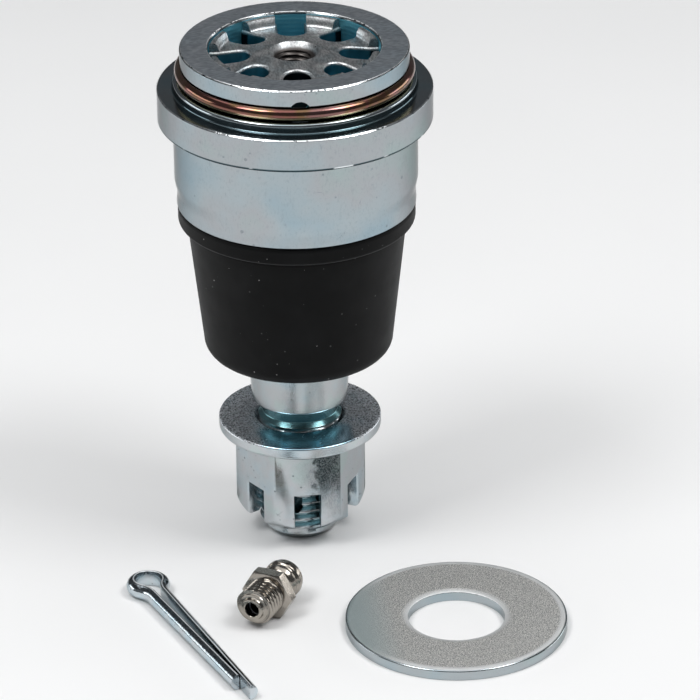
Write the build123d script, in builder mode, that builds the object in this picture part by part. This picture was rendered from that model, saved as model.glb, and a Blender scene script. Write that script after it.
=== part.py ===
from build123d import *
import os
from math import asin, atan, atan2, cos, degrees, radians, sin, sqrt, tan

# Suspension ball joint of the press-in kind, with a threaded cap that sets the preload, a wire ring
# that locks the cap, a rubber dust boot, and a flanged castle nut on the tapered stud. It stands on
# the end of its stud, with the flat washer, the split pin and the grease fitting of the set laid
# beside it. Millimetres. The origin is the centre of the ball, +Z is the axis towards the cap, and
# one slot of the castle nut faces -Y.

# ------------------------------------------------------------------------------ driving dimensions
# Clearances
running_clearance = 0.15     # between parts that turn or slide on each other
fixed_clearance = 0.05       # between parts that are screwed, pressed or laid together
boot_clearance = 0.25        # between the rubber lip and the stud that turns in it

# Ball stud: depths are measured down from the centre of the ball
ball_d = 23.0
ball_flat_d = 9.8            # flat on top of the ball, under the grease port
stud_neck_d = 13.6
stud_shoulder_l = 3.4        # cone between the neck and the taper
taper_length = 21.2
taper_end_depth = 43.2
taper_end_d = 16.0           # small end of the seat taper
taper_per_mm = 1 / 8         # on the diameter
taper_end_round = 0.5
undercut_d = 12.6
undercut_round = 0.8
stud_thread_d = 14.0         # M14 x 1.5
stud_thread_lead = 1.1       # thread that shows above the nut
stud_protrusion = 4.2        # stud that stands out below the nut
stud_end_d = 9.8
split_hole_d = 4.0
split_hole_rise = 3.1        # above the bottom of the nut
split_hole_angle = -112.0

# Castle nut
nut_stand_off = 3.3          # below the end of the taper
nut_height = 17.2
nut_flats = 19.0
nut_flange_d = 27.2
nut_flange_edge = 1.8
nut_flange_slope = 30.0      # degrees, underside of the flange
nut_slot_w = 4.3
nut_slot_h = 6.3
nut_slots = 6
nut_face_d = 18.6            # round face that the turned-down corners leave
nut_corner_drop = 3.0        # height over which the corners are turned down

# Housing
rim_top = 20.3
rim_d = 37.4
rim_height = 2.8
lock_groove_d = 34.8
lock_groove_w = 2.5
shoulder_d = 39.8
shoulder_round = 0.7
flange_overhang = 2.5        # beyond the sleeve
flange_top = 13.4
flange_thickness = 5.6
flange_chamfer = 0.35
sleeve_d = 40.0              # press-fit diameter
sleeve_end = -2.4            # where the straight sleeve stops
sleeve_waist_d = 39.1
sleeve_waist = -4.6
sleeve_lip_d = 39.4
sleeve_bottom = -7.0
spigot_d = 32.6
spigot_below_bead = 1.5
cap_thread_d = 28.1
rim_chamfer = 0.2
seat_ledge = -6.1            # ledge that carries the lower seat
throat_top_d = 21.2
throat_bottom_d = 25.4
lock_hole_d = 3.4
lock_hole_height = 16.72
lock_holes = 2
lock_angle = -94.0           # first hole, and one slot of the cap

# Bearing seats and preload spring
lower_seat_top = 0.4
upper_seat_bottom = 1.0
upper_seat_top = 10.9
upper_seat_hole_d = 10.4
disc_spring_d = 26.4
disc_spring_hole_d = 12.4
disc_spring_t = 0.9
disc_spring_cone = 0.45

# Adjuster cap and its seal
cap_wall_top = 19.9
cap_dish_d = 25.0
cap_dish_height = 18.4
cap_dish_round = 1.4         # hollow between the dish and its wall
cap_wall_t = 1.0             # at the top of the wall
cap_edge_round = 0.7
cap_crown_height = 19.3
grease_thread_d = 6.35       # 1/4 inch, 28 threads per inch
port_chamfer_d = 8.2
cap_slots = 8
cap_slot_w = 4.5
cap_slot_reach = 14.4        # diameter across the round inner ends of two slots
cap_slot_depth_below_wire = 0.1
seal_d = 1.6
seal_groove_w = 1.8
seal_height = 13.75

# Lock ring
lock_wire_d = 2.1
lock_bend = 1.5
lock_ring_height = 16.25
lock_tail_radius = 12.9      # how near the axis the bent tail reaches
lock_ring_opening = 8.0      # degrees between the tail and the free end

# Dust boot and its rings
boot_bead_d = 39.1
boot_bead_h = 3.5
boot_bead_round = 0.7
boot_shoulder_d = 36.2
boot_end_d = 31.8
boot_end_depth = 33.9
boot_end_round = 2.0
boot_wall = 2.0
boot_floor = 2.4
boot_collar_d = 20.8
boot_collar_h = 2.4
upper_ring_wall = 1.2
lower_ring_d = 22.8
lower_ring_h = 1.6

# Flat washer
washer_d = 36.3
washer_bore = 15.8
washer_t = 1.8
washer_round = 0.5
washer_x = 20.90
washer_y = -37.78

# Split pin
pin_d = 2.8
pin_slit = 0.1               # between the legs at the end of the short one
pin_spread = 1.6             # between the legs, carried on to the middle of the eye
pin_eye_d = 7.2
pin_neck_round = 5.0
pin_short_leg = 35.5         # from the centre of the eye to the end of the leg
pin_long_leg = 39.4
pin_x = -27.94
pin_y = -19.87
pin_angle = -71.1

# Grease fitting, lying on a flat of its hexagon
fitting_thread_l = 5.2
fitting_end_d = 5.4          # of the chamfered end of the thread
fitting_end_l = 0.2
fitting_flats = 7.94         # 5/16 inch
fitting_hex_l = 2.1
fitting_neck_d = 4.8
fitting_neck_l = 1.7
fitting_head_d = 6.7
fitting_head_l = 4.7
fitting_nose_d = 3.6
fitting_bore = 3.1
fitting_mouth = 1.6
fitting_nose_wall = 0.7
fitting_lip = 0.6            # rolled-in edge of the thread end, which holds the spring
fitting_lip_bore = 2.55
fitting_ball_d = 2.6
fitting_ball_travel = 0.8
fitting_spring_wire = 0.3
fitting_spring_turns = 4
fitting_x = -12.40
fitting_y = -35.12
fitting_angle = 56.5

# ------------------------------------------------------------------------------ shared sizes
taper_start_depth = taper_end_depth - taper_length
neck_end_depth = taper_start_depth - stud_shoulder_l
nut_top_depth = taper_end_depth + nut_stand_off
nut_bottom_depth = nut_top_depth + nut_height
thread_start_depth = nut_top_depth - stud_thread_lead
stud_length = nut_bottom_depth + stud_protrusion
split_hole_depth = nut_bottom_depth - split_hole_rise
floor = -stud_length
ball_r = ball_d / 2
seat_r = ball_r + running_clearance
bore_r = cap_thread_d / 2
ledge_r = throat_top_d / 2
flange_r = sleeve_d / 2 + flange_overhang
taper_start_d = taper_end_d + taper_length * taper_per_mm
disc_spring_bottom = upper_seat_top + running_clearance
cap_bottom = disc_spring_bottom + disc_spring_t + disc_spring_cone + fixed_clearance
cap_r = bore_r - fixed_clearance
lock_wire_r = lock_wire_d / 2
cap_slot_floor = lock_ring_height - lock_wire_r - cap_slot_depth_below_wire
lock_ring_r = lock_groove_d / 2 + fixed_clearance * 2 + lock_wire_r
bead_top = sleeve_bottom - fixed_clearance
bead_bottom = bead_top - boot_bead_h
spigot_bottom = bead_bottom - spigot_below_bead


def taper_radius(depth):
    """Radius of the seat taper of the stud at a depth below the ball."""
    return (taper_end_d + (taper_end_depth - depth) * taper_per_mm) / 2


def sphere_height(radius, across):
    """Height above the centre of a sphere where it is that far from the axis."""
    return sqrt(radius**2 - across**2)


os.makedirs("parts", exist_ok=True)

# ------------------------------------------------------------------------------ housing
groove_top = rim_top - rim_height
groove_bottom = groove_top - lock_groove_w
with BuildPart() as housing:
    with BuildSketch(Plane.XZ):
        with BuildLine():
            Polyline(
                (bore_r, seat_ledge),
                (bore_r, rim_top - rim_chamfer),
                (bore_r + rim_chamfer, rim_top),
                (rim_d / 2 - rim_chamfer, rim_top),
                (rim_d / 2, rim_top - rim_chamfer),
                (rim_d / 2, groove_top),
                (lock_groove_d / 2, groove_top),
                (lock_groove_d / 2, groove_bottom),
                (shoulder_d / 2 - shoulder_round, groove_bottom),
            )
            RadiusArc(
                (shoulder_d / 2 - shoulder_round, groove_bottom),
                (shoulder_d / 2, groove_bottom - shoulder_round),
                shoulder_round,
            )
            Polyline(
                (shoulder_d / 2, groove_bottom - shoulder_round),
                (shoulder_d / 2, flange_top),
                (flange_r - flange_chamfer, flange_top),
                (flange_r, flange_top - flange_chamfer),
                (flange_r, flange_top - flange_thickness + flange_chamfer),
                (flange_r - flange_chamfer, flange_top - flange_thickness),
                (sleeve_d / 2, flange_top - flange_thickness),
                (sleeve_d / 2, sleeve_end),
            )
            ThreePointArc(
                (sleeve_d / 2, sleeve_end),
                (sleeve_waist_d / 2, sleeve_waist),
                (sleeve_lip_d / 2, sleeve_bottom),
            )
            Polyline(
                (sleeve_lip_d / 2, sleeve_bottom),
                (spigot_d / 2, sleeve_bottom),
                (spigot_d / 2, spigot_bottom),
                (throat_bottom_d / 2, spigot_bottom),
                (ledge_r, seat_ledge),
                (bore_r, seat_ledge),
            )
        make_face()
    revolve(axis=Axis.Z)
    # holes for the tail of the lock ring, open to the groove
    for hole in range(lock_holes):
        angle = radians(lock_angle + hole * 360 / lock_holes)
        with BuildSketch(Plane((0, 0, lock_hole_height), x_dir=(0, 0, 1), z_dir=(cos(angle), sin(angle), 0))):
            Circle(lock_hole_d / 2)
        extrude(amount=rim_d / 2, mode=Mode.SUBTRACT)

# ------------------------------------------------------------------------------ bearing seats
with BuildPart() as lower_seat:
    seat_bottom = seat_ledge + fixed_clearance
    outer = bore_r - fixed_clearance
    with BuildSketch(Plane.XZ):
        with BuildLine():
            Polyline(
                (sphere_height(seat_r, lower_seat_top), lower_seat_top),
                (outer, lower_seat_top),
                (outer, seat_bottom),
                (sphere_height(seat_r, seat_bottom), seat_bottom),
            )
            RadiusArc(
                (sphere_height(seat_r, seat_bottom), seat_bottom),
                (sphere_height(seat_r, lower_seat_top), lower_seat_top),
                -seat_r,
            )
        make_face()
    revolve(axis=Axis.Z)

with BuildPart() as pressure_seat:
    outer = bore_r - running_clearance
    hole_r = upper_seat_hole_d / 2
    with BuildSketch(Plane.XZ):
        with BuildLine():
            Polyline(
                (hole_r, sphere_height(seat_r, hole_r)),
                (hole_r, upper_seat_top),
                (outer, upper_seat_top),
                (outer, upper_seat_bottom),
                (sphere_height(seat_r, upper_seat_bottom), upper_seat_bottom),
            )
            RadiusArc(
                (sphere_height(seat_r, upper_seat_bottom), upper_seat_bottom),
                (hole_r, sphere_height(seat_r, hole_r)),
                -seat_r,
            )
        make_face()
    revolve(axis=Axis.Z)

with BuildPart() as disc_spring:
    inner = disc_spring_hole_d / 2
    outer = disc_spring_d / 2
    with BuildSketch(Plane.XZ):
        with BuildLine():
            Polyline(
                (outer, disc_spring_bottom),
                (outer, disc_spring_bottom + disc_spring_t),
                (inner, disc_spring_bottom + disc_spring_cone + disc_spring_t),
                (inner, disc_spring_bottom + disc_spring_cone),
                close=True,
            )
        make_face()
    revolve(axis=Axis.Z)

# ------------------------------------------------------------------------------ adjuster cap
seal_seat_r = bore_r - seal_d - fixed_clearance
port_r = grease_thread_d / 2
with BuildPart() as adjuster_cap:
    with BuildSketch(Plane.XZ):
        with BuildLine():
            Polyline(
                (port_r, cap_bottom),
                (cap_r, cap_bottom),
                (cap_r, seal_height - seal_groove_w / 2),
                (seal_seat_r, seal_height - seal_groove_w / 2),
                (seal_seat_r, seal_height + seal_groove_w / 2),
                (cap_r, seal_height + seal_groove_w / 2),
                (cap_r, cap_wall_top - cap_edge_round),
            )
            RadiusArc(
                (cap_r, cap_wall_top - cap_edge_round),
                (cap_r - cap_edge_round, cap_wall_top),
                -cap_edge_round,
            )
            Line((cap_r - cap_edge_round, cap_wall_top), (cap_r - cap_wall_t, cap_wall_top))
            RadiusArc(
                (cap_r - cap_wall_t, cap_wall_top),
                (cap_dish_d / 2, cap_dish_height),
                cap_dish_round,
            )
            Polyline(
                (cap_dish_d / 2, cap_dish_height),
                (port_chamfer_d / 2, cap_crown_height),
                (port_r, cap_crown_height - (port_chamfer_d / 2 - port_r)),
                (port_r, cap_bottom),
            )
        make_face()
    revolve(axis=Axis.Z)
    # spanner slots, open at the outside and round at the inside
    with BuildSketch(Plane.XY.offset(cap_slot_floor)):
        with PolarLocations(0, cap_slots, start_angle=lock_angle):
            slot_centre = (cap_slot_reach + cap_slot_w) / 2
            with Locations((slot_centre, 0)):
                Circle(cap_slot_w / 2)
            with Locations((slot_centre + cap_r / 2, 0)):
                Rectangle(cap_r, cap_slot_w)
    extrude(amount=rim_top - cap_slot_floor, mode=Mode.SUBTRACT)

with BuildPart() as cap_seal:
    with BuildSketch(Plane.XZ):
        with Locations((bore_r - seal_d / 2 - fixed_clearance / 2, seal_height)):
            Circle(seal_d / 2)
    revolve(axis=Axis.Z)

# ------------------------------------------------------------------------------ lock ring
tail_angle = radians(lock_angle + 360 / lock_holes)
tail_bend_x = sqrt((lock_ring_r - lock_bend) ** 2 - lock_bend**2)
bend_angle = degrees(asin(lock_bend / (lock_ring_r - lock_bend)))
with BuildPart() as lock_ring:
    across = (cos(tail_angle), sin(tail_angle), 0)
    with BuildLine(Plane((0, 0, lock_ring_height), x_dir=across, z_dir=(0, 0, 1))) as lock_path:
        CenterArc((0, 0), lock_ring_r, lock_ring_opening, 360 - lock_ring_opening - bend_angle)
        CenterArc((tail_bend_x, -lock_bend), lock_bend, -bend_angle, 90 + bend_angle)
        Line((tail_bend_x, 0), (lock_tail_radius, 0))
    with BuildSketch(Plane(lock_path.line @ 0, z_dir=lock_path.line % 0)):
        Circle(lock_wire_r)
    sweep(path=lock_path.line)

# ------------------------------------------------------------------------------ dust boot and rings
upper_ring_r = spigot_d / 2 + fixed_clearance
boot_ring_r = upper_ring_r + upper_ring_wall + fixed_clearance
boot_end = -boot_end_depth
collar_top = boot_end + boot_floor + boot_collar_h
with BuildPart() as dust_boot:
    with BuildSketch(Plane.XZ):
        with BuildLine():
            Polyline(
                (boot_ring_r, bead_top),
                (boot_bead_d / 2 - boot_bead_round, bead_top),
            )
            RadiusArc(
                (boot_bead_d / 2 - boot_bead_round, bead_top),
                (boot_bead_d / 2, bead_top - boot_bead_round),
                boot_bead_round,
            )
            Polyline(
                (boot_bead_d / 2, bead_top - boot_bead_round),
                (boot_bead_d / 2, bead_bottom + boot_bead_round),
            )
            RadiusArc(
                (boot_bead_d / 2, bead_bottom + boot_bead_round),
                (boot_bead_d / 2 - boot_bead_round, bead_bottom),
                boot_bead_round,
            )
            Polyline(
                (boot_bead_d / 2 - boot_bead_round, bead_bottom),
                (boot_shoulder_d / 2, bead_bottom),
                (boot_end_d / 2, boot_end + boot_end_round),
            )
            RadiusArc(
                (boot_end_d / 2, boot_end + boot_end_round),
                (boot_end_d / 2 - boot_end_round, boot_end),
                boot_end_round,
            )
            Polyline(
                (boot_end_d / 2 - boot_end_round, boot_end),
                (taper_radius(boot_end_depth) + boot_clearance, boot_end),
                (taper_radius(-collar_top) + boot_clearance, collar_top),
                (boot_collar_d / 2, collar_top),
                (boot_collar_d / 2, boot_end + boot_floor),
                (boot_end_d / 2 - boot_end_round, boot_end + boot_floor),
                (boot_end_d / 2 - boot_wall, boot_end + boot_end_round + boot_wall / 2),
                (boot_shoulder_d / 2 - boot_wall, bead_bottom - boot_wall),
                (boot_ring_r, bead_bottom),
                (boot_ring_r, bead_top),
            )
        make_face()
    revolve(axis=Axis.Z)

with BuildPart() as boot_upper_ring:
    with BuildSketch(Plane.XY.offset(bead_bottom)):
        Circle(upper_ring_r + upper_ring_wall)
        Circle(upper_ring_r, mode=Mode.SUBTRACT)
    extrude(amount=boot_bead_h)

with BuildPart() as boot_lower_ring:
    lower_ring_bottom = boot_end + boot_floor + (boot_collar_h - lower_ring_h) / 2
    with BuildSketch(Plane.XY.offset(lower_ring_bottom)):
        Circle(lower_ring_d / 2)
        Circle(boot_collar_d / 2 + boot_clearance, mode=Mode.SUBTRACT)
    extrude(amount=lower_ring_h)

# ------------------------------------------------------------------------------ ball stud
neck_r = stud_neck_d / 2
stud_chamfer = (stud_thread_d - stud_end_d) / 2
with BuildPart() as ball_stud:
    with BuildSketch(Plane.XZ):
        with BuildLine():
            flat_r = ball_flat_d / 2
            Line((0, sphere_height(ball_r, flat_r)), (flat_r, sphere_height(ball_r, flat_r)))
            ThreePointArc(
                (flat_r, sphere_height(ball_r, flat_r)),
                (ball_r, 0),
                (neck_r, -sphere_height(ball_r, neck_r)),
            )
            Polyline(
                (neck_r, -sphere_height(ball_r, neck_r)),
                (neck_r, -neck_end_depth),
                (taper_start_d / 2, -taper_start_depth),
                (taper_end_d / 2, taper_end_round - taper_end_depth),
            )
            RadiusArc(
                (taper_end_d / 2, taper_end_round - taper_end_depth),
                (taper_end_d / 2 - taper_end_round, -taper_end_depth),
                taper_end_round,
            )
            Line(
                (taper_end_d / 2 - taper_end_round, -taper_end_depth),
                (undercut_d / 2 + undercut_round, -taper_end_depth),
            )
            RadiusArc(
                (undercut_d / 2 + undercut_round, -taper_end_depth),
                (undercut_d / 2, -taper_end_depth - undercut_round),
                -undercut_round,
            )
            Polyline(
                (undercut_d / 2, -taper_end_depth - undercut_round),
                (undercut_d / 2, -thread_start_depth),
                (stud_thread_d / 2, -thread_start_depth - (stud_thread_d - undercut_d) / 2),
                (stud_thread_d / 2, stud_chamfer - stud_length),
                (stud_end_d / 2, -stud_length),
                (0, -stud_length),
                (0, sphere_height(ball_r, flat_r)),
            )
        make_face()
    revolve(axis=Axis.Z)
    # cross hole for the split pin
    with BuildSketch(Plane((0, 0, -split_hole_depth), x_dir=(0, 0, 1),
                           z_dir=(cos(radians(split_hole_angle)), sin(radians(split_hole_angle)), 0))):
        Circle(split_hole_d / 2)
    extrude(amount=stud_thread_d, both=True, mode=Mode.SUBTRACT)

# ------------------------------------------------------------------------------ castle nut
nut_bottom = -nut_bottom_depth
nut_bore_r = stud_thread_d / 2 + fixed_clearance
hex_corner_r = nut_flats / 2 / cos(radians(30))
with BuildPart() as castle_nut:
    # hexagon with a flat towards -Y, its lower corners turned down in an arc
    with BuildSketch(Plane.XY.offset(nut_bottom)):
        RegularPolygon(nut_flats / 2, 6, major_radius=False)
    extrude(amount=nut_height)
    with BuildSketch(Plane.XZ):
        face_r = nut_face_d / 2
        overhang = hex_corner_r - face_r
        with BuildLine():
            RadiusArc(
                (hex_corner_r, nut_bottom + nut_corner_drop),
                (face_r, nut_bottom),
                (overhang**2 + nut_corner_drop**2) / (2 * overhang),
            )
            Polyline(
                (face_r, nut_bottom),
                (hex_corner_r + overhang, nut_bottom),
                (hex_corner_r + overhang, nut_bottom + nut_corner_drop),
                (hex_corner_r, nut_bottom + nut_corner_drop),
            )
        make_face()
    revolve(axis=Axis.Z, mode=Mode.SUBTRACT)
    # flange, thin at the edge and sloping down to the hexagon
    with BuildSketch(Plane.XZ):
        slope = (nut_flange_d / 2 - nut_flats / 2) * tan(radians(nut_flange_slope))
        with BuildLine():
            Polyline(
                (0, -nut_top_depth),
                (nut_flange_d / 2, -nut_top_depth),
                (nut_flange_d / 2, -nut_top_depth - nut_flange_edge),
                (nut_flats / 2, -nut_top_depth - nut_flange_edge - slope),
                (0, -nut_top_depth - nut_flange_edge - slope),
                close=True,
            )
        make_face()
    revolve(axis=Axis.Z)
    with BuildSketch(Plane.XY.offset(nut_bottom)):
        Circle(nut_bore_r)
    extrude(amount=nut_height, mode=Mode.SUBTRACT)
    # slots for the split pin
    with BuildSketch(Plane.XY.offset(nut_bottom)):
        with PolarLocations(nut_flats / 2, nut_slots, start_angle=-90):
            Rectangle(nut_flats, nut_slot_w)
    extrude(amount=nut_slot_h, mode=Mode.SUBTRACT)

# ------------------------------------------------------------------------------ flat washer
with BuildPart() as flat_washer:
    with BuildSketch(Plane((washer_x, washer_y, floor))):
        Circle(washer_d / 2)
        Circle(washer_bore / 2, mode=Mode.SUBTRACT)
    extrude(amount=washer_t)
    # rolled edges that the punch leaves on the upper side
    fillet(flat_washer.faces().sort_by(Axis.Z)[-1].edges(), washer_round)

# ------------------------------------------------------------------------------ split pin
leg_slope = (pin_spread - pin_slit) / 2 / pin_short_leg
leg_tilt = degrees(atan(leg_slope))
eye_r = pin_eye_d / 2 - pin_d / 2
# the neck bends out of the eye in an arc that touches the eye and the flat of the leg
neck_off = pin_neck_round + pin_spread / 2 * cos(radians(leg_tilt))
neck_along = sqrt((eye_r + pin_neck_round) ** 2 - neck_off**2)
eye_angle = degrees(atan2(neck_off, neck_along)) - leg_tilt
neck_x = (eye_r + pin_neck_round) * cos(radians(eye_angle))
neck_y = (eye_r + pin_neck_round) * sin(radians(eye_angle))
leg_x = neck_x - pin_neck_round * sin(radians(leg_tilt))
leg_y = neck_y - pin_neck_round * cos(radians(leg_tilt))
pin_plane = Plane((pin_x, pin_y, floor + pin_d / 2),
                  x_dir=(cos(radians(pin_angle)), sin(radians(pin_angle)), 0), z_dir=(0, 0, 1))
with BuildPart() as split_pin:
    with BuildLine(pin_plane) as pin_path:
        Line((pin_long_leg, pin_spread / 2 - pin_long_leg * leg_slope), (leg_x, leg_y))
        CenterArc((neck_x, neck_y), pin_neck_round, -90 - leg_tilt, eye_angle + leg_tilt - 90)
        CenterArc((0, 0), eye_r, eye_angle, 360 - 2 * eye_angle)
        CenterArc((neck_x, -neck_y), pin_neck_round, 180 - eye_angle, eye_angle + leg_tilt - 90)
        Line((leg_x, -leg_y), (pin_short_leg, pin_short_leg * leg_slope - pin_spread / 2))
    # half-round wire, its flat towards the slit
    with BuildSketch(Plane(pin_path.line @ 0, x_dir=(0, 0, 1), z_dir=pin_path.line % 0)):
        Circle(pin_d / 2)
        with Locations((0, -pin_d / 2)):
            Rectangle(pin_d, pin_d, mode=Mode.SUBTRACT)
    sweep(path=pin_path.line)

# ------------------------------------------------------------------------------ grease fitting
hex_start = fitting_thread_l
hex_end = hex_start + fitting_hex_l
neck_end = hex_end + fitting_neck_l
fitting_length = neck_end + fitting_head_l
fitting_plane = Plane((fitting_x, fitting_y, floor + fitting_flats / 2), x_dir=(0, 0, 1),
                      z_dir=(cos(radians(fitting_angle)), sin(radians(fitting_angle)), 0))
# a half section through the axis of the fitting: its X is the axis, its Y is across
fitting_section = Plane(fitting_plane.origin, x_dir=fitting_plane.z_dir, z_dir=fitting_plane.x_dir)
chamber_end = fitting_length - fitting_nose_wall
ball_at = chamber_end - fitting_ball_d / 2 - fixed_clearance
spring_start = fitting_lip + fixed_clearance
with BuildPart() as grease_fitting:
    with BuildSketch(fitting_section):
        with BuildLine():
            Polyline(
                (0, 0),
                (0, fitting_end_d / 2),
                (fitting_end_l, fitting_end_d / 2),
                (fitting_end_l + (grease_thread_d - fitting_end_d) / 2, grease_thread_d / 2),
                (hex_end, grease_thread_d / 2),
                (hex_end, fitting_neck_d / 2),
                (neck_end, fitting_neck_d / 2),
            )
            ThreePointArc(
                (neck_end, fitting_neck_d / 2),
                (neck_end + fitting_head_l * 0.55, fitting_head_d / 2),
                (fitting_length, fitting_nose_d / 2),
            )
            Polyline((fitting_length, fitting_nose_d / 2), (fitting_length, 0), (0, 0))
        make_face()
    revolve(axis=Axis(fitting_plane.origin, fitting_plane.z_dir))
    with BuildSketch(fitting_plane.offset(hex_start)):
        RegularPolygon(fitting_flats / 2, 6, major_radius=False, rotation=30)
    extrude(amount=fitting_hex_l)
    # grease way: a chamber for the ball and its spring, with a narrower mouth at each end
    with BuildSketch(fitting_plane):
        Circle(fitting_lip_bore / 2)
    extrude(amount=fitting_lip, mode=Mode.SUBTRACT)
    with BuildSketch(fitting_plane.offset(fitting_lip)):
        Circle(fitting_bore / 2)
    extrude(amount=chamber_end - fitting_lip, mode=Mode.SUBTRACT)
    with BuildSketch(fitting_plane):
        Circle(fitting_mouth / 2)
    extrude(amount=fitting_length, mode=Mode.SUBTRACT)

with BuildPart(fitting_plane.offset(ball_at)) as fitting_ball:
    Sphere(fitting_ball_d / 2)

# coil spring that presses the ball against the mouth
coil_plane = fitting_plane.offset(spring_start + fitting_spring_wire / 2)
with BuildPart() as fitting_spring:
    coil_length = ball_at - fitting_ball_d / 2 - fixed_clearance - fitting_spring_wire - spring_start
    coil_r = (fitting_bore - fitting_spring_wire) / 2 - fixed_clearance
    with BuildLine() as coil:
        Helix(coil_length / fitting_spring_turns, coil_length, coil_r,
              center=coil_plane.origin, direction=coil_plane.z_dir)
    with BuildSketch(Plane(coil.line @ 0, z_dir=coil.line % 0)):
        Circle(fitting_spring_wire / 2)
    sweep(path=coil.line, is_frenet=True)

for name, piece in {
    "housing": housing,
    "lower_seat": lower_seat,
    "pressure_seat": pressure_seat,
    "disc_spring": disc_spring,
    "adjuster_cap": adjuster_cap,
    "cap_seal": cap_seal,
    "lock_ring": lock_ring,
    "dust_boot": dust_boot,
    "boot_upper_ring": boot_upper_ring,
    "boot_lower_ring": boot_lower_ring,
    "ball_stud": ball_stud,
    "castle_nut": castle_nut,
    "flat_washer": flat_washer,
    "split_pin": split_pin,
    "grease_fitting": grease_fitting,
    "fitting_ball": fitting_ball,
    "fitting_spring": fitting_spring,
}.items():
    piece.part.label = name
    export_step(piece.part, f"parts/{name}.step")
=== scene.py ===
"""Suspension ball joint with its flat washer, split pin and grease fitting: looks and lighting."""
import math

import bmesh
import bpy
from mathutils import Matrix, Vector


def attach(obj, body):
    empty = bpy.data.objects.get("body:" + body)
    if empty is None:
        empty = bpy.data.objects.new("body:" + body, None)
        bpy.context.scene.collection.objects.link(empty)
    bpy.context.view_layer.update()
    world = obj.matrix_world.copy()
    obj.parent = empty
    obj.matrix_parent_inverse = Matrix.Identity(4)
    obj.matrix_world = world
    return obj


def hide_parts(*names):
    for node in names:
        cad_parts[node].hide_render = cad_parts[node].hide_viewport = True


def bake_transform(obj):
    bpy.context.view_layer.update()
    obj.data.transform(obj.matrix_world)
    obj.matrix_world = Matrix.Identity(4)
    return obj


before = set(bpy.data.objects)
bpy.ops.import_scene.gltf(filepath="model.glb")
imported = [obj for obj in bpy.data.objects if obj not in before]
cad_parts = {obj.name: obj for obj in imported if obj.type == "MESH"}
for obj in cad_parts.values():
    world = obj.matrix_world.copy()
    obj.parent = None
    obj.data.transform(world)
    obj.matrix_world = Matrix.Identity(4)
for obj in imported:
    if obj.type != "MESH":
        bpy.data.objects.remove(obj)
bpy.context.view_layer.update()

# ---------------------------------------------------------------- zinc-plated housing
# Turned from bar: a rim that holds the lock ring and the adjuster cap, a flange, the press-fit
# sleeve and a spigot for the boot. It is threaded inside for the cap, then bright zinc plated.
MM = 0.001
EDGE_HOLD = 0.02             # mm, keeps a flat face flat beside a rounded edge
BORE_R = 14.05
BORE_ROOT_R = 14.07
BORE_PITCH = 0.75
RIM_TOP = 20.3
RIM_R = 18.7
GROOVE_R = 17.4
GROOVE_BOTTOM = 15.0
LOCK_HOLE_R = 1.7
LOCK_HOLE_HEIGHT = 16.72
LOCK_ANGLE = math.radians(-94)
SPIGOT_R = 16.3
ZINC = (0.41, 0.46, 0.49)


def rounded(corners, steps=4):
    """An outline with its corners rounded; each corner is (radius, height, rounding) in mm."""
    outline = []
    for i, (x, y, rounding) in enumerate(corners):
        if rounding <= 0:
            outline.append((x, y))
            continue
        here = Vector((x, y))
        before = Vector(corners[i - 1][:2]) - here
        after = Vector(corners[(i + 1) % len(corners)][:2]) - here
        half = before.angle(after) / 2
        reach = min(rounding / math.tan(half), before.length * 0.45, after.length * 0.45)
        inward = (before.normalized() + after.normalized()).normalized()
        middle = here + inward * reach / math.cos(half)
        first = here + before.normalized() * reach
        last = here + after.normalized() * reach
        bend = (first - middle).angle_signed(last - middle)
        outline.append(tuple(first + before.normalized() * EDGE_HOLD))
        for k in range(steps + 1):
            turn = Matrix.Rotation(-bend * k / steps, 2)
            outline.append(tuple(middle + turn @ (first - middle)))
        outline.append(tuple(last + after.normalized() * EDGE_HOLD))
    return outline


def new_piece(name, mesh):
    """An object made from a bmesh in mm."""
    bmesh.ops.scale(mesh, vec=(MM, MM, MM), verts=mesh.verts)
    bmesh.ops.recalc_face_normals(mesh, faces=mesh.faces)
    data = bpy.data.meshes.new(name)
    mesh.to_mesh(data)
    mesh.free()
    data.shade_smooth()
    piece = bpy.data.objects.new(name, data)
    bpy.context.scene.collection.objects.link(piece)
    return piece


def turned(name, outline, thread=None, segments=240):
    """Turns a closed outline of (radius, height) about Z; thread may give a point another radius."""
    mesh = bmesh.new()
    rings = []
    for radius, height in outline:
        ring = []
        for k in range(segments if radius > 0 else 1):
            angle = 2 * math.pi * k / segments
            r = thread(angle, radius, height) if thread else radius
            ring.append(mesh.verts.new((r * math.cos(angle), r * math.sin(angle), height)))
        rings.append(ring)
    for low, high in zip(rings, rings[1:] + rings[:1]):
        if len(low) == len(high) == 1:
            continue
        for k in range(segments):
            n = (k + 1) % segments
            corners = [low[k % len(low)], low[n % len(low)], high[n % len(high)], high[k % len(high)]]
            mesh.faces.new(list(dict.fromkeys(corners)))
    return new_piece(name, mesh)


def block(name, outline, low, high):
    """A straight block from a flat outline of (x, y), between two heights."""
    mesh = bmesh.new()
    foot = [mesh.verts.new((x, y, low)) for x, y in outline]
    top = [mesh.verts.new((x, y, high)) for x, y in outline]
    mesh.faces.new(foot)
    mesh.faces.new(top)
    for k in range(len(outline)):
        n = (k + 1) % len(outline)
        mesh.faces.new((foot[k], foot[n], top[n], top[k]))
    return new_piece(name, mesh)


def settle(piece):
    """Turns the piece's modifiers into its mesh."""
    made = bpy.data.meshes.new_from_object(piece.evaluated_get(bpy.context.evaluated_depsgraph_get()))
    piece.modifiers.clear()
    old, name = piece.data, piece.data.name
    piece.data = made
    bpy.data.meshes.remove(old)
    made.name = name


def work(piece, tool, operation="DIFFERENCE"):
    """Cuts the piece with a tool, or joins it or keeps what both share; the tool is used up."""
    step = piece.modifiers.new("work", "BOOLEAN")
    step.operation = operation
    step.solver = "EXACT"
    step.object = tool
    settle(piece)
    bpy.data.objects.remove(tool)


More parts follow.
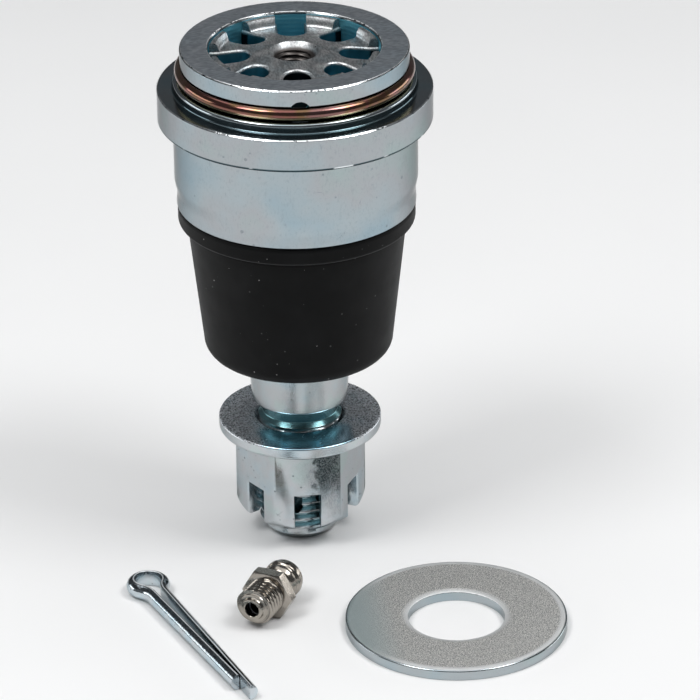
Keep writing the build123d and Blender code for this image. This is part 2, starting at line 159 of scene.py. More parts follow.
def drill(piece, start, way, length, radius, sides=64):
    """Bores a round hole from a point, in mm, along a direction."""
    circle = [2 * math.pi * k / sides for k in range(sides)]
    tool = block("drill", [(radius * math.cos(a), radius * math.sin(a)) for a in circle], 0, length)
    aim = Vector(way).to_track_quat("Z", "X").to_matrix().to_4x4()
    tool.data.transform(Matrix.Translation(Vector(start) * MM) @ aim)
    work(piece, tool)


def crisp(piece, degrees=30):
    """Smooth shading that stops at edges sharper than the angle."""
    piece.data.shade_smooth()
    piece.data.set_sharp_from_angle(angle=math.radians(degrees))


def thread_form(angle, height, pitch):
    """Right-hand thread: 0 at the root and 1 at the crest, with a small flat on each."""
    phase = (height / pitch - angle / (2 * math.pi)) % 1
    return min(max((abs(phase - 0.5) * 2 - 0.15) / 0.7, 0), 1)


def housing_thread(angle, radius, height):
    if radius != BORE_ROOT_R:
        return radius
    depth = max(min(1, (height - 12.4) / 0.5, (20.0 - height) / 0.3), 0)
    return BORE_R + (BORE_ROOT_R - BORE_R) * depth * (1 - thread_form(angle, height, BORE_PITCH))


bore = [(BORE_R, -6.1), (BORE_R, 12.3)] + [(BORE_ROOT_R, 12.4 + 0.075 * k) for k in range(101)]
housing = turned("zinc_housing", bore + rounded([
    (BORE_R, 20.02, 0), (BORE_R + 0.2, RIM_TOP, 0.08), (RIM_R - 0.25, RIM_TOP, 0.1),
    (RIM_R, RIM_TOP - 0.25, 0.1), (RIM_R, 17.5, 0.12), (GROOVE_R, 17.5, 0.2),
    (GROOVE_R, GROOVE_BOTTOM, 0.3), (19.9, GROOVE_BOTTOM, 0.5), (19.9, 13.4, 0.25),
    (22.28, 13.4, 0.1), (22.5, 13.18, 0.1), (22.5, 8.1, 0.15), (22.2, 7.8, 0.12),
    (20.0, 7.8, 0.35), (20.0, -2.4, 3.0), (19.55, -4.6, 3.0), (19.7, -7.0, 0.25),
    (SPIGOT_R, -7.0, 0.1), (SPIGOT_R, -12.05, 0.2), (12.7, -12.05, 0.3), (10.6, -6.1, 0),
]), housing_thread)
for side, start in ((0, 12), (math.pi, 14.6)):
    way = Vector((math.cos(LOCK_ANGLE + side), math.sin(LOCK_ANGLE + side), 0))
    drill(housing, way * start + Vector((0, 0, LOCK_HOLE_HEIGHT)), way, 18.75 - start, LOCK_HOLE_R)
crisp(housing)


class Finish:
    """The nodes of one finish, in a material or in a node group."""

    def __init__(self, tree):
        self.tree = tree

    def node(self, kind, **settings):
        node = self.tree.nodes.new("ShaderNode" + kind)
        for key, value in settings.items():
            setattr(node, key, value)
        return node

    def feed(self, socket, value):
        """Joins another node's output to a socket, or sets a number or a colour on it."""
        if isinstance(value, bpy.types.NodeSocket):
            self.tree.links.new(value, socket)
        elif socket.type == "RGBA":
            socket.default_value = (*value, 1)
        else:
            socket.default_value = value

    def count(self, operation, *values):
        """A Math node."""
        node = self.node("Math", operation=operation)
        for socket, value in zip(node.inputs, values):
            self.feed(socket, value)
        return node.outputs[0]

    def place(self, stretch=(1, 1, 1), turn=(0, 0, 0)):
        """The place on the piece, stretched and turned."""
        node = self.node("Mapping")
        node.inputs["Scale"].default_value = stretch
        node.inputs["Rotation"].default_value = turn
        self.feed(node.inputs["Vector"], self.node("TexCoord").outputs["Object"])
        return node.outputs[0]

    def noise(self, size, detail=2.0, place=None):
        """Noise with features about that size, in mm."""
        node = self.node("TexNoise")
        self.feed(node.inputs["Vector"], place or self.place())
        if isinstance(size, (int, float)):
            self.feed(node.inputs["Scale"], 1 / (size * MM))
        else:
            self.feed(node.inputs["Scale"], self.count("DIVIDE", 1 / MM, size))
        self.feed(node.inputs["Detail"], detail)
        return node.outputs["Fac"]

    def step(self, value, low, high):
        """0 below low, 1 above high, smooth between."""
        node = self.node("MapRange", interpolation_type="SMOOTHSTEP")
        for socket, number in zip(node.inputs, (value, low, high, 0.0, 1.0)):
            self.feed(socket, number)
        return node.outputs[0]

    def scale(self, value, low, high):
        """A value from 0 to 1 stretched to low to high."""
        return self.count("MULTIPLY_ADD", value, high - low, low)

    def blend(self, factor, first, second, how="MIX"):
        node = self.node("Mix", data_type="RGBA", blend_type=how)
        for k, value in zip((0, 6, 7), (factor, first, second)):
            self.feed(node.inputs[k], value)
        return node.outputs[2]

    def bands(self, factor, *stops):
        """Colours along a ramp; each stop is (place, colour)."""
        node = self.node("ValToRGB")
        elements = node.color_ramp.elements
        for _ in stops[2:]:
            elements.new(0.5)
        for element, (position, colour) in zip(elements, stops):
            element.position = position
            element.color = (*colour, 1)
        self.feed(node.inputs["Fac"], factor)
        return node.outputs["Color"]

    def use(self, group, **values):
        """Places a node group and sets or joins its inputs."""
        node = self.node("Group", node_tree=bpy.data.node_groups[group])
        for label, value in values.items():
            self.feed(node.inputs[label], value)
        return node.outputs

    def bump(self, socket, height, strength, depth):
        """Feeds a Normal socket with a bump of that depth in mm."""
        node = self.node("Bump")
        node.inputs["Strength"].default_value = strength
        node.inputs["Distance"].default_value = depth * MM
        self.feed(node.inputs["Height"], height)
        self.feed(socket, node.outputs[0])


def new_group(name, given, made):
    """A node group; given holds its inputs' usual values, made names its outputs and their kind."""
    tree = bpy.data.node_groups.new(name, "ShaderNodeTree")
    for label, value in given.items():
        kind = "NodeSocketColor" if isinstance(value, tuple) else "NodeSocketFloat"
        socket = tree.interface.new_socket(label, in_out="INPUT", socket_type=kind)
        socket.default_value = (*value, 1) if isinstance(value, tuple) else value
    for label, kind in made.items():
        tree.interface.new_socket(label, in_out="OUTPUT", socket_type="NodeSocket" + kind)
    return Finish(tree), tree.nodes.new("NodeGroupInput").outputs, tree.nodes.new("NodeGroupOutput").inputs


def new_material(name, **constants):
    """A material, with constants on the sockets of its Principled shader."""
    material = bpy.data.materials.new(name)
    material.use_nodes = True
    shader = material.node_tree.nodes["Principled BSDF"].inputs
    finish = Finish(material.node_tree)
    for label, value in constants.items():
        finish.feed(shader[label.replace("_", " ")], value)
    return material, finish, shader


def dress(piece, material, body=None, nodes=()):
    """Paints a piece; a new one rides on a body and stands for CAD nodes."""
    piece.data.materials.clear()
    piece.data.materials.append(material)
    if body:
        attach(piece, body)
        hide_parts(*nodes)


# thin zinc shows faint clouds of blue, pink and green
group, given, made = new_group("plating_clouds", {"Base": ZINC, "Amount": 0.5, "Size": 9.0}, {"Color": "Color"})
tint = group.bands(group.noise(given["Size"], 3.0), (0.3, (0.74, 0.92, 1.0)), (0.44, (0.96, 1.0, 1.0)),
                   (0.55, (1.0, 0.92, 0.90)), (0.68, (0.90, 1.0, 0.92)))
tinted = group.blend(1.0, given["Base"], tint, "MULTIPLY")
group.feed(made["Color"], group.blend(given["Amount"], given["Base"], tinted))

# where a point lies on a turned piece, in mm from the axis and along it
group, given, made = new_group("turned_place", {}, {"Radius": "Float", "Height": "Float"})
across = group.node("VectorMath", operation="LENGTH")
group.feed(across.inputs[0], group.place((1, 1, 0)))
along = group.node("SeparateXYZ")
group.feed(along.inputs[0], group.place())
group.feed(made["Radius"], group.count("DIVIDE", across.outputs["Value"], MM))
group.feed(made["Height"], group.count("DIVIDE", along.outputs["Z"], MM))

# the tool's lines round a turned piece, which change along its axis and across its faces
group, given, made = new_group("turning_lines", {"Pitch": 0.25}, {"Height": "Float"})
spot = group.use("turned_place")
line = group.node("TexNoise", noise_dimensions="1D")
group.feed(line.inputs["Detail"], 3.0)
group.feed(line.inputs["Scale"], 1.0)
steps = group.count("MULTIPLY_ADD", spot["Radius"], 1.3, spot["Height"])
group.feed(line.inputs["W"], group.count("DIVIDE", steps, given["Pitch"]))
group.feed(made["Height"], line.outputs["Fac"])

# a ring-shaped edge: 1 on it, 0 beyond its width
group, given, made = new_group("edge_ring", {"Radius": 18.0, "Height": 20.0, "Width": 0.3}, {"Mask": "Float"})
spot = group.use("turned_place")
off = [group.count("POWER", group.count("SUBTRACT", spot[k], given[k]), 2.0) for k in ("Radius", "Height")]
far = group.count("SQRT", group.count("ADD", *off))
group.feed(made["Mask"], group.step(group.count("DIVIDE", far, given["Width"]), 1.0, 0.6))

# hair scratches in two directions, in patches
group, given, made = new_group("hair_scratches", {"Length": 6.0, "Amount": 0.5}, {"Mask": "Float"})
hairs = []
for stretch, turn in (((1, 1, 22), (0.5, 0.3, 0.8)), ((1, 22, 1), (0.9, 0.2, 0.1)), ((22, 1, 1), (0.1, 0.6, 0.4))):
    hair = group.noise(given["Length"], 0.0, group.place(stretch, turn))
    hairs.append(group.step(group.count("ABSOLUTE", group.count("SUBTRACT", hair, 0.5)), 0.01, 0.0))
hairs = [group.count("MAXIMUM", hairs[0], hairs[1]), hairs[2]]
patch = group.step(group.noise(2.6, 3.0, group.place(turn=(1, 2, 3))), 0.56, 0.68)
scratched = group.count("MULTIPLY", group.count("MAXIMUM", *hairs), patch)
group.feed(made["Mask"], group.count("MULTIPLY", scratched, given["Amount"]))

# small pits and specks, picked at random from cells of one size
group, given, made = new_group("specks", {"Size": 0.6, "Share": 0.2, "Width": 0.2}, {"Mask": "Float"})
cells = group.node("TexVoronoi")
group.feed(cells.inputs["Vector"], group.place(turn=(0.3, 0.7, 0.2)))
group.feed(cells.inputs["Scale"], group.count("DIVIDE", 1 / MM, given["Size"]))
pick = group.node("SeparateColor")
group.feed(pick.inputs[0], cells.outputs["Color"])
chosen = group.count("LESS_THAN", pick.outputs[0], given["Share"])
near = group.count("LESS_THAN", cells.outputs["Distance"], group.count("MULTIPLY", pick.outputs[1], given["Width"]))
group.feed(made["Mask"], group.count("MULTIPLY", chosen, near))

# bright zinc on the housing: smooth and blue-white, duller and grained on the face of the rim, with
# painted shade and a painted reflection in the recesses and painted highlight lines with dark nicks on the edges
SHADE_TEAL = (0.08, 0.28, 0.36)
BORE_REFLECTION_TEAL = (0.20, 0.60, 0.74)
bright_zinc, finish, shader = new_material("bright_zinc", Metallic=1.0, Specular_Tint=(0.5, 0.5, 0.5))
spot = finish.use("turned_place")
clouds = finish.use("plating_clouds", Base=ZINC, Amount=0.7, Size=14.0)["Color"]
marks = finish.use("hair_scratches", Length=5.0, Amount=0.8)["Mask"]
pits = finish.use("specks", Size=1.4, Share=0.12, Width=0.22)["Mask"]
lines = finish.use("turning_lines", Pitch=0.3)["Height"]
grain = finish.noise(0.3, 3.0)
above = finish.step(spot["Height"], 20.15, 20.28)
inside = finish.count("MULTIPLY", finish.step(spot["Radius"], 18.66, 18.6), finish.step(spot["Height"], 19.9, 19.8))
inside = finish.count("MULTIPLY", inside, finish.step(spot["Height"], 12.3, 12.4))
# painted highlight: near-white lines with dark nicks on the two edges of the rim and the top edge of the flange
rings = [finish.use("edge_ring", Radius=r, Height=h, Width=w)["Mask"]
         for r, h, w in ((18.6, 20.22, 0.17), (14.18, 20.26, 0.16), (22.42, 13.32, 0.14))]
edges = finish.count("MAXIMUM", finish.count("MAXIMUM", rings[0], rings[1]), rings[2])
nicks = finish.step(finish.noise(0.5, 4.0), 0.56, 0.6)
# painted shade: the shoulder below the lock wire is darkened to a dark teal
shoulder_shade = finish.count("MULTIPLY", finish.step(spot["Radius"], 20.2, 20.0), finish.step(spot["Height"], 14.6, 14.4))
shoulder_shade = finish.count("MULTIPLY", shoulder_shade, finish.step(spot["Height"], 13.2, 13.45))
# the lower edge of the flange, which gets a painted dark line with white glints further down
painted_low_edge = finish.use("edge_ring", Radius=22.5, Height=7.95, Width=0.4)["Mask"]
soil = finish.count("MAXIMUM", marks, finish.count("MULTIPLY", pits, 0.6))
grime = finish.step(finish.noise(0.35, 3.0, finish.place((1, 1, 0.5))), 0.5, 0.75)
dirt = finish.count("MAXIMUM", soil, finish.count("MULTIPLY", grime, 0.22))
colour = finish.blend(dirt, clouds, (0.20, 0.23, 0.25))
fine = finish.step(finish.noise(0.25, 3.0, finish.place((0.25, 1, 1), (0, 0, 0.3))), 0.35, 0.65)
greyed = finish.blend(finish.count("MULTIPLY", above, 0.5), colour, (0.62, 0.65, 0.69))
colour = finish.blend(finish.count("MULTIPLY", above, fine), greyed, (0.32, 0.35, 0.39))
colour = finish.blend(edges, colour, finish.blend(nicks, (0.92, 0.94, 0.95), (0.04, 0.05, 0.055)))
colour = finish.blend(finish.count("MULTIPLY", shoulder_shade, 0.75), colour, (0.07, 0.13, 0.15))
# painted shade and highlight: a dark line with white glints along the lower edge of the flange
glints = finish.step(finish.noise(4.0, 2.0), 0.6, 0.66)
glinting = finish.blend(glints, (0.02, 0.05, 0.06), (0.9, 0.95, 0.97))
colour = finish.blend(finish.count("MULTIPLY", painted_low_edge, 0.9), colour, glinting)
# painted reflection and shade: the bore is painted light teal; the lock holes and the groove behind the wire are
# painted near black
hole = finish.step(spot["Radius"], 14.4, 14.7)
finish.feed(shader["Base Color"], finish.blend(inside, colour, finish.blend(hole, BORE_REFLECTION_TEAL, (0.01, 0.014, 0.018))))
smooth = finish.scale(finish.noise(2.5), 0.1, 0.2)
smooth = finish.count("MULTIPLY_ADD", inside, 0.35, smooth)
finish.feed(shader["Roughness"], finish.count("MULTIPLY_ADD", above, 0.28, smooth))
relief = finish.count("MULTIPLY_ADD", grain, finish.scale(above, 0.4, 1.6), finish.count("MULTIPLY", lines, 0.4))
worn = finish.count("MAXIMUM", finish.count("MAXIMUM", marks, pits), finish.count("MULTIPLY", edges, nicks))
finish.bump(shader["Normal"], finish.count("MULTIPLY_ADD", worn, -0.6, relief), 0.25, 0.02)
dress(housing, bright_zinc, "housing", ["housing"])

# ---------------------------------------------------------------- adjuster cap
# A zinc-plated steel plug that screws into the rim and presses on the seats. It has a dished top,
# eight spanner slots that the lock ring's tail drops into, and a tapped port for the grease fitting.
CAP_R = 14.0
CAP_BOTTOM = 12.45
CAP_SLOTS = 8
CAP_SLOT_HALF = 2.25
CAP_SLOT_CENTRE = 9.45
CAP_SLOT_FLOOR = 15.1
CAP_EDGE = 0.42
PORT_ROOT_R = 3.175
PORT_CREST_R = 2.72
PORT_PITCH = 0.907


def port_thread(angle, radius, height):
    if radius != PORT_ROOT_R:
        return radius
    return PORT_ROOT_R - (PORT_ROOT_R - PORT_CREST_R) * thread_form(angle, height, PORT_PITCH)


def cap_outline():
    wall = [(13.0, 19.9), (12.71, 19.48), (12.52, 18.98), (12.42, 18.62), (12.2, 18.45), (11.8, 18.47)]
    port = [(PORT_ROOT_R, 18.2 - 0.1 * k) for k in range(57)]
    return rounded([
        (PORT_ROOT_R + 0.05, CAP_BOTTOM, 0), (CAP_R - 0.2, CAP_BOTTOM, 0), (CAP_R, CAP_BOTTOM + 0.2, 0),
        (CAP_R, 12.85, 0), (12.4, 12.85, 0), (12.4, 14.65, 0), (CAP_R, 14.65, 0),
        (CAP_R, 19.9, 0.6), (13.0, 19.9, 0),
    ])[:-1] + wall + [(4.25, 19.29), (4.1, 19.27), (PORT_ROOT_R + 0.05, 18.3)] + port


def crown(radius):
    """Height of the dished top at a radius."""
    return 19.3 - 0.9 * max(radius - 4.1, 0) / 8.4 if radius < 12.5 else 18.4


def slot_cutter(turn):
    """A cutter for one slot, flared where it meets the top so that it leaves a rounded edge."""
    nose = [math.radians(90 + 7.5 * j) for j in range(25)]
    line = [(CAP_SLOT_CENTRE + CAP_SLOT_HALF * math.cos(a), CAP_SLOT_HALF * math.sin(a), math.cos(a), math.sin(a))
            for a in nose]
    line += [(CAP_SLOT_CENTRE + 5.4 * k / 8, -CAP_SLOT_HALF, 0, -1) for k in range(1, 9)]
    line += [(CAP_SLOT_CENTRE + 5.4 * k / 8, CAP_SLOT_HALF, 0, 1) for k in range(8, 0, -1)]
    round_over = [math.radians(a) for a in (0, 20, 40, 60, 78)]
    flare = [(CAP_EDGE * (1 - math.cos(a)), CAP_EDGE * (math.sin(a) - 1)) for a in round_over]
    mesh = bmesh.new()
    rings = [[mesh.verts.new((x, y, CAP_SLOT_FLOOR)) for x, y, _, _ in line]]
    for out, drop in flare + [(flare[-1][0], 3.5)]:
        ring = []
        for x, y, nx, ny in line:
            px, py = x + nx * out, y + ny * out
            ring.append(mesh.verts.new((px, py, crown(math.hypot(px, py)) + drop)))
        rings.append(ring)
    for low, high in zip(rings, rings[1:]):
        for k in range(len(line)):
            n = (k + 1) % len(line)
            mesh.faces.new((low[k], low[n], high[n], high[k]))
    mesh.faces.new(rings[0])
    bmesh.ops.triangulate(mesh, faces=[mesh.faces.new(rings[-1])])
    cutter = new_piece("cutter", mesh)
    cutter.data.transform(Matrix.Rotation(turn, 4, "Z"))
    return cutter


cap = turned("slotted_cap", cap_outline(), port_thread, 192)
for k in range(CAP_SLOTS):
    work(cap, slot_cutter(LOCK_ANGLE + 2 * math.pi * k / CAP_SLOTS))
crisp(cap, 40)
cap_zinc, finish, shader = new_material("cap_zinc", Metallic=1.0, Specular_Tint=(0.6, 0.6, 0.6))
spot = finish.use("turned_place")
clouds = finish.use("plating_clouds", Base=(0.58, 0.60, 0.61), Amount=0.5, Size=4.0)["Color"]
marks = finish.use("hair_scratches", Length=3.0, Amount=0.8)["Mask"]
pits = finish.use("specks", Size=0.9, Share=0.12, Width=0.25)["Mask"]
mottle = finish.step(finish.noise(2.0, 4.0), 0.3, 0.7)
# painted shade: the slots are darkened to teal below the dished top, and to near black at their outer ends and in the
# front slot
top = finish.count("MULTIPLY_ADD", finish.count("SUBTRACT", spot["Radius"], 4.1), -0.107, 19.3)
recess_shade = finish.step(finish.count("SUBTRACT", top, spot["Height"]), 0.25, 0.6)
recess_shade = finish.count("MULTIPLY", recess_shade, finish.step(spot["Radius"], 4.15, 4.3))
port = finish.step(spot["Radius"], 3.6, 3.2)
fine = finish.step(finish.noise(0.3, 3.0, finish.place((1, 0.35, 1), (0, 0, 0.5))), 0.4, 0.62)
colour = finish.blend(finish.count("MULTIPLY", fine, 0.6), clouds, (0.20, 0.21, 0.22))
colour = finish.blend(finish.count("MAXIMUM", marks, pits), colour, (0.12, 0.13, 0.14))
dark = finish.step(spot["Radius"], 12.3, 12.9)
where = finish.node("SeparateXYZ")
finish.feed(where.inputs[0], finish.place())
front = finish.count("MULTIPLY", finish.step(where.outputs["Y"], -6.0 * MM, -6.8 * MM),
                     finish.step(finish.count("ABSOLUTE", where.outputs["X"]), 4.0 * MM, 3.2 * MM))
shade = finish.blend(finish.count("MAXIMUM", dark, front), SHADE_TEAL, (0.01, 0.02, 0.026))
colour = finish.blend(recess_shade, colour, shade)
finish.feed(shader["Base Color"], finish.blend(port, colour, (0.11, 0.10, 0.095)))
finish.feed(shader["Roughness"], finish.scale(mottle, 0.34, 0.44))
relief = finish.count("MULTIPLY_ADD", finish.use("turning_lines", Pitch=0.3)["Height"], 0.6, finish.noise(0.4, 3.0))
finish.bump(shader["Normal"], relief, 0.2, 0.02)
dress(cap, cap_zinc, "housing", ["adjuster_cap"])

# ---------------------------------------------------------------- lock ring
# Spring wire in a yellow chromate coat, snapped round the groove under the rim. Its tail is bent
# in through the rear hole of the housing and into a slot of the cap, so that the cap can't turn.
WIRE_R = 1.05
WIRE_HEIGHT = 16.25
WIRE_RING_R = 18.55
WIRE_BEND = 1.5
WIRE_TAIL_END = 14.9
WIRE_OPENING = math.radians(8)


def swept(name, path, section, tip=0.0, up=Vector((0, 0, 1))):
    """Sweeps a section of (up, side) along a level path, in mm; tip rounds both ends."""
    mesh = bmesh.new()
    stations = []
    for i, here in enumerate(path):
        along = (path[min(i + 1, len(path) - 1)] - path[max(i - 1, 0)]).normalized()
        stations.append((here, along, 1.0))
    if tip:
        ends = [(stations[0][0] + stations[0][1] * tip, stations[0][1])]
        ends.append((stations[-1][0] - stations[-1][1] * tip, stations[-1][1]))
        stations[0] = (stations[0][0], stations[0][1], 0.75)
        stations[-1] = (stations[-1][0], stations[-1][1], 0.75)
        stations.insert(1, (ends[0][0], ends[0][1], 1.0))
        stations.insert(-1, (ends[1][0], ends[1][1], 1.0))
    rings = []
    for here, along, size in stations:
        side = along.cross(up)
        rings.append([mesh.verts.new(here + (up * a + side * b) * size) for a, b in section])
    for near, far in zip(rings, rings[1:]):
        for k in range(len(section)):
            n = (k + 1) % len(section)
            mesh.faces.new((near[k], near[n], far[n], far[k]))
    mesh.faces.new(rings[0])
    mesh.faces.new(rings[-1])
    return new_piece(name, mesh)


def arc(middle, radius, start, end, steps):
    """Points on a level arc, angles in radians."""
    angles = [start + (end - start) * k / steps for k in range(steps + 1)]
    return [middle + radius * Vector((math.cos(a), math.sin(a), 0)) for a in angles]


def circle(radius, sides):
    return [(radius * math.cos(2 * math.pi * k / sides), radius * math.sin(2 * math.pi * k / sides))
            for k in range(sides)]


bend = math.asin(WIRE_BEND / (WIRE_RING_R - WIRE_BEND))
bend_x = math.sqrt((WIRE_RING_R - WIRE_BEND) ** 2 - WIRE_BEND**2)
path = arc(Vector((0, 0, WIRE_HEIGHT)), WIRE_RING_R, WIRE_OPENING, 2 * math.pi - bend, 220)
path += arc(Vector((bend_x, -WIRE_BEND, WIRE_HEIGHT)), WIRE_BEND, -bend, math.pi / 2, 12)[1:]
path += [Vector((bend_x + (WIRE_TAIL_END - bend_x) * k / 6, 0, WIRE_HEIGHT)) for k in range(1, 7)]
to_tail = Matrix.Rotation(LOCK_ANGLE + math.pi, 3, "Z")
lock_ring = swept("lock_wire", [to_tail @ point for point in path], circle(WIRE_R, 28), 0.25)
crisp(lock_ring, 50)
chromate, finish, shader = new_material("yellow_chromate", Metallic=1.0, Coat_Weight=0.35, Coat_Roughness=0.08)
tone = finish.noise(6.0, 2.0)
copper = finish.bands(tone, (0.36, (0.19, 0.10, 0.055)), (0.46, (0.23, 0.09, 0.08)), (0.54, (0.19, 0.11, 0.05)),
                      (0.64, (0.26, 0.13, 0.12)))
# painted reflection: the lower part of the wire is painted olive
under = finish.step(finish.use("turned_place")["Height"], 16.1, 15.6)
colour = finish.blend(under, copper, (0.30, 0.27, 0.15))
wear_and_highlight = finish.use("specks", Size=0.8, Share=0.2, Width=0.25)["Mask"]
finish.feed(shader["Base Color"], finish.blend(wear_and_highlight, colour, (0.25, 0.22, 0.18)))
finish.feed(shader["Roughness"], finish.scale(finish.noise(1.0, 3.0), 0.1, 0.2))
drawn = finish.noise(0.3, 2.0, finish.place(stretch=(0.1, 0.1, 3)))
finish.bump(shader["Normal"], drawn, 0.2, 0.02)
dress(lock_ring, chromate, "housing", ["lock_ring"])

# ---------------------------------------------------------------- dust boot
# Moulded black rubber, matt, with a heavy bead pressed on the spigot of the housing and a collar
# that grips the stud.
BOOT_TOP = -7.05
BOOT_END = -34.15
BEAD_R = 19.55
BEAD_END = -9.9
WALL_R = 18.06               # just below the bead
WALL_TOP = -10.75
TOE_R = 2.6                  # rounding of the lower corner
TOE_X = 13.14
TAPER_END = -43.2
TAPER_END_R = 8.0
TAPER_PER_MM = 1 / 16        # on the radius


def taper_radius(height):
    return TAPER_END_R + (height - TAPER_END) * TAPER_PER_MM


side = [(
    WALL_R + (TOE_X + TOE_R - WALL_R) * k / 24,
    WALL_TOP + (BOOT_END + TOE_R - WALL_TOP) * k / 24,
) for k in range(1, 24)]
toe = [math.radians(-11.25 * k) for k in range(9)]
toe = [(TOE_X + TOE_R * math.cos(a), BOOT_END + TOE_R + TOE_R * math.sin(a)) for a in toe]
inner = [(13.9 + 2.2 * k / 24, -30.9 + 18.35 * k / 24) for k in range(1, 24)]
boot = turned("rubber_boot", rounded([
    (17.6, BOOT_TOP, 0), (BEAD_R, BOOT_TOP, 0.75), (BEAD_R, BEAD_END, 0.6), (18.1, -10.65, 0.3),
]) + side + toe + rounded([
    (TOE_X - 0.2, BOOT_END, 0), (taper_radius(BOOT_END) + 0.25, BOOT_END, 0.35),
    (taper_radius(-29.1) + 0.25, -29.1, 0.3), (10.4, -29.1, 0.2), (10.4, -31.5, 0.2), (13.9, -31.5, 0.6),
], 6) + inner + [(16.1, -12.55), (17.6, -10.55)], segments=160)
crisp(boot, 60)
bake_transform(boot)
rubber, finish, shader = new_material("boot_rubber", Specular_IOR_Level=0.12)
dust = finish.use("specks", Size=0.75, Share=0.1, Width=0.22)["Mask"]
lint = finish.use("specks", Size=1.4, Share=0.3, Width=0.1)["Mask"]
bloom = finish.step(finish.noise(7.0, 3.0), 0.35, 0.75)
black = finish.blend(bloom, (0.0025, 0.0028, 0.003), (0.005, 0.0053, 0.0057))
# painted highlight and shade: a lighter line on the lower rounding of the bead and a near-black line in the crease
# below it
wear_and_highlight = finish.use("edge_ring", Radius=19.2, Height=-10.1, Width=0.55)["Mask"]
crease_shade = finish.use("edge_ring", Radius=18.2, Height=-10.75, Width=0.45)["Mask"]
black = finish.blend(crease_shade, finish.blend(wear_and_highlight, black, (0.022, 0.023, 0.024)), (0.0005, 0.0005, 0.0006))
dusty = finish.blend(finish.count("MULTIPLY", dust, 0.45), black, (0.12, 0.12, 0.12))
finish.feed(shader["Base Color"], finish.blend(finish.count("MULTIPLY", lint, 0.8), dusty, (0.32, 0.31, 0.31)))
finish.feed(shader["Roughness"], finish.scale(finish.noise(3.0, 3.0), 0.46, 0.6))
skin = finish.count("ADD", finish.noise(0.25, 3.0), finish.count("MULTIPLY", dust, 0.8))
finish.bump(shader["Normal"], skin, 0.35, 0.03)
boot.data.materials.clear()
boot.data.materials.append(rubber)
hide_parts("dust_boot")


def coat(node, material):
    """Gives a CAD node that shows as it is a material."""
    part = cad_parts[node]
    part.data.materials.clear()
    part.data.materials.append(material)


# the two steel rings that hold the bead and the collar from inside the rubber
ring_steel, finish, shader = new_material("ring_steel", Metallic=1.0)
plating = finish.use("plating_clouds", Base=(0.45, 0.47, 0.48), Amount=0.4, Size=6.0)["Color"]
finish.feed(shader["Base Color"], plating)
finish.feed(shader["Roughness"], finish.scale(finish.noise(1.0, 3.0), 0.3, 0.45))
finish.bump(shader["Normal"], finish.use("turning_lines", Pitch=0.4)["Height"], 0.2, 0.02)
coat("boot_upper_ring", ring_steel)
coat("boot_lower_ring", ring_steel)

# ---------------------------------------------------------------- ball stud
# Forged steel, ground on the ball and on the seat taper, with a rolled M14 x 1.5 thread and a cross
# hole for the split pin, then bright zinc plated below the ball.
BALL_R = 11.5
THREAD_R = 7.0
THREAD_ROOT_R = 6.1
THREAD_PITCH = 1.5
THREAD_START = -45.4
STUD_END = -67.9
CROSS_HOLE = Vector((0, 0, -60.6))
CROSS_ANGLE = math.radians(-112)


def stud_thread(angle, radius, height):
    if radius != THREAD_R:
        return radius
    lead = (THREAD_START - 0.7 - height) / 0.5
    depth = max(min(1, lead), 0)
    return THREAD_R - (THREAD_R - THREAD_ROOT_R) * depth * (1 - thread_form(angle, height, THREAD_PITCH))


ball = [math.radians(65 - 6 * k) for k in range(20)]
stud_outline = [(0, 10.4), (4.6, 10.4)] + [(BALL_R * math.cos(a), BALL_R * math.sin(a)) for a in ball]
stud_outline += rounded([
    (6.8, -9.3, 0), (6.8, -18.6, 0.6), (taper_radius(-22.0), -22.0, 0.8), (TAPER_END_R, TAPER_END, 0.5),
    (6.3, TAPER_END, 0.8), (6.3, -45.4, 0.25), (THREAD_R, -46.1, 0),
])
stud_outline += [(THREAD_R, -46.1 - 0.15 * k) for k in range(1, 132)]
stud_outline += [(6.3, -66.5), (5.6, -67.2), (5.0, -67.8), (4.8, STUD_END), (1.6, STUD_END), (0, STUD_END)]
stud = turned("tapered_ball_stud", stud_outline, stud_thread, 168)
across = Vector((math.cos(CROSS_ANGLE), math.sin(CROSS_ANGLE), 0))
drill(stud, CROSS_HOLE - across * 9, across, 18, 2.0, 40)
crisp(stud, 35)
stud_zinc, finish, shader = new_material(
    "stud_zinc", Metallic=1.0, Specular_Tint=(0.6, 0.6, 0.6), Coat_Weight=0.4, Coat_Roughness=0.12)
clouds = finish.use("plating_clouds", Base=(0.44, 0.48, 0.50), Amount=0.6, Size=5.0)["Color"]
streaks = finish.noise(1.6, 3.0, finish.place(stretch=(1, 1, 0.12)))
dark = finish.step(streaks, 0.58, 0.72)
pits = finish.use("specks", Size=0.7, Share=0.3, Width=0.3)["Mask"]
marks = finish.use("hair_scratches", Length=4.0, Amount=1.0)["Mask"]
soil = finish.count("MAXIMUM", finish.count("MULTIPLY", pits, dark), marks)
colour = finish.blend(soil, clouds, (0.12, 0.14, 0.15))
spot = finish.use("turned_place")
# painted shade: below the taper the neck and the roots of the thread are tinted teal, lighter lower down; the
# thread's crests and its end keep the zinc
neck = finish.step(spot["Height"], TAPER_END + 0.05, TAPER_END - 0.25)
crest = finish.count("MULTIPLY", finish.step(spot["Radius"], 6.7, 6.95), finish.step(spot["Height"], -46.0, -46.2))
tail = finish.step(spot["Height"], STUD_END + 3.6, STUD_END + 2.4)
teal_shade = finish.count("MULTIPLY", neck, finish.count("SUBTRACT", 1.0, finish.count("MAXIMUM", crest, tail)))
shade_tints = finish.blend(finish.step(spot["Height"], -46.2, -47.0), (0.12, 0.30, 0.33), (0.27, 0.42, 0.46))
finish.feed(shader["Base Color"], finish.blend(finish.count("MULTIPLY", teal_shade, 0.9), colour, shade_tints))
finish.feed(shader["Roughness"], finish.scale(streaks, 0.12, 0.32))
relief = finish.count("ADD", finish.use("turning_lines", Pitch=0.2)["Height"], streaks)
